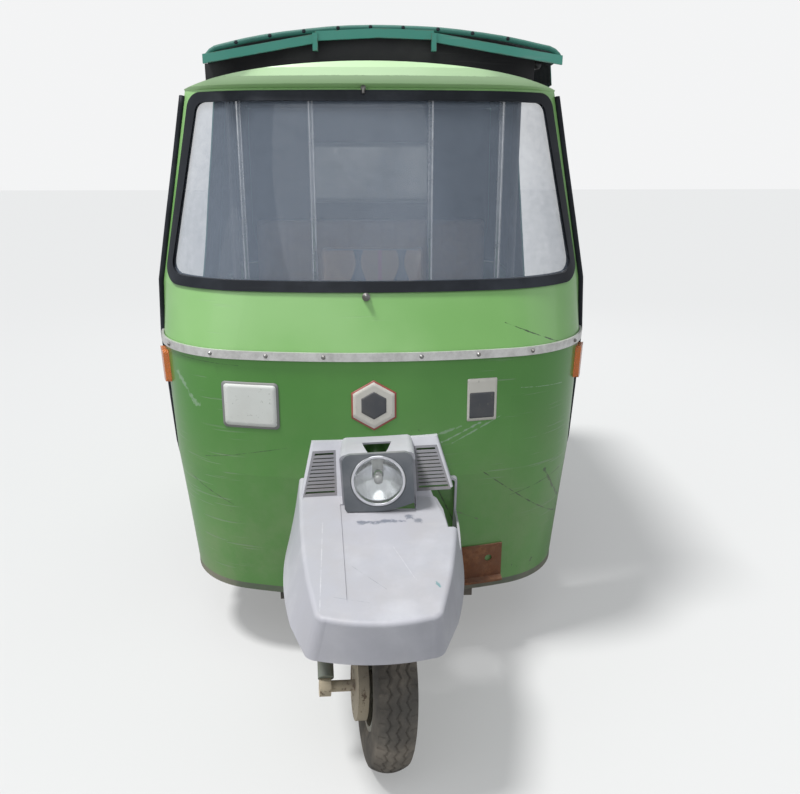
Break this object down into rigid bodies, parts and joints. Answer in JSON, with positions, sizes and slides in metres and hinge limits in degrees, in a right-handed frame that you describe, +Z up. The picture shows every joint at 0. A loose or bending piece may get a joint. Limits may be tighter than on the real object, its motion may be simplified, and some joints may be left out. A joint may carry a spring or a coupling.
{
  "type": "auto rickshaw",
  "caption": "Auto rickshaw with a rounded front, wrap-round windscreen, grey lamp nose over the steered wheel, cloth hood, open doorways and a bench behind the driver.",
  "frame": {"origin": "middle of the vehicle's box, on the ground", "axes": "+Y to the rear, +X to the vehicle's left, +Z up"},
  "size_m": [1.316, 2.6949, 1.852],
  "materials": {
    "cowl_paint": "worn green enamel",
    "band_paint": "faded light green enamel",
    "trim": "dull, dented strip",
    "gasket_rubber": "matt black",
    "screen_glass": "dusty laminated glass",
    "amber_lens": "moulded lens",
    "floor_paint": "scuffed",
    "chassis_paint": "dusty black",
    "red_lens": "moulded lens",
    "cast_iron": "oily",
    "seat_box_paint": "cream enamel",
    "seat_cover": "coated cloth, tan with blue panels",
    "hood_cloth": "coated hood cloth, teal",
    "clear_sheet": "hazy clear sheet",
    "frame_paint": "black",
    "rail_steel": "polished tube",
    "rail_paint": "teal enamel",
    "lining": "black",
    "nose_plastic": "light grey moulding, scuffed",
    "louvre_plastic": "grey",
    "lamp_glass": "fluted lens",
    "bezel_plastic": "grey, chipped",
    "rust": "rusted through",
    "fork_paint": "grey-green, dusty",
    "link_paint": "cream, chipped",
    "tyre": "worn, dusty",
    "rim_paint": "grey-green"
  },
  "bodies": {
    "body": {"front_cowl": "cowl_paint", "waist_strip": "trim", "windscreen_surround": "band_paint", "windscreen_gasket": "gasket_rubber", "windscreen_glass": "screen_glass", "side_indicators": "amber_lens", "floor_pan": "floor_paint", "chassis_rails": "chassis_paint", "quarter_panel_left": "cowl_paint", "quarter_panel_right": "cowl_paint", "tail_panel": "cowl_paint", "rear_bumper": "chassis_paint", "tail_lamps": "red_lens", "rear_deck": "floor_paint", "engine_block": "cast_iron", "rear_arms": "chassis_paint", "rear_shocks": "chassis_paint", "driver_seat_box": "seat_box_paint", "driver_cushion": "seat_cover", "driver_backrest": "seat_cover", "canopy": "hood_cloth", "rear_window": "clear_sheet", "roof_frame": "frame_paint", "partition_rails": "rail_steel", "roof_front_rail": "rail_paint", "front_lining": "lining", "side_curtain": "hood_cloth", "passenger_cushion": "seat_cover", "passenger_backrest": "seat_cover", "nose_fender": "nose_plastic", "louvre_grilles": "louvre_plastic", "headlamp": "lamp_glass", "headlamp_bezel": "bezel_plastic", "front_bracket": "rust"},
    "steering": {"steering_fork": "fork_paint", "handlebar": "rail_steel", "front_link": "link_paint"},
    "lid": {"engine_lid": "cowl_paint"},
    "wheel_front": {"tyre_front": "tyre", "rim_front": "rim_paint"},
    "wheel_left": {"tyre_left": "tyre", "rim_left": "rim_paint"},
    "wheel_right": {"tyre_right": "tyre", "rim_right": "rim_paint"}
  },
  "joints": [
    {"name": "steer", "type": "hinge", "parent": "body", "child": "steering", "pos_m": [0, -0.97, 0.206], "axis": [0, 0.5, 0.866], "range_deg": [-48.5, 31.5]},
    {"name": "roll_front", "type": "hinge", "parent": "steering", "child": "wheel_front", "pos_m": [0.01666, -1.09893, 0.20567], "axis": [0.989, 0.128, -0.0739], "continuous": true},
    {"name": "roll_left", "type": "hinge", "parent": "body", "child": "wheel_left", "pos_m": [0.575, 0.83, 0.206], "axis": [1, 0, 0], "continuous": true},
    {"name": "roll_right", "type": "hinge", "parent": "body", "child": "wheel_right", "pos_m": [-0.575, 0.83, 0.206], "axis": [1, 0, 0], "continuous": true},
    {"name": "lid_hinge", "type": "hinge", "parent": "body", "child": "lid", "pos_m": [0, 1.335, 0.788], "axis": [1, 0, 0], "range_deg": [0, 80]}
  ]
}
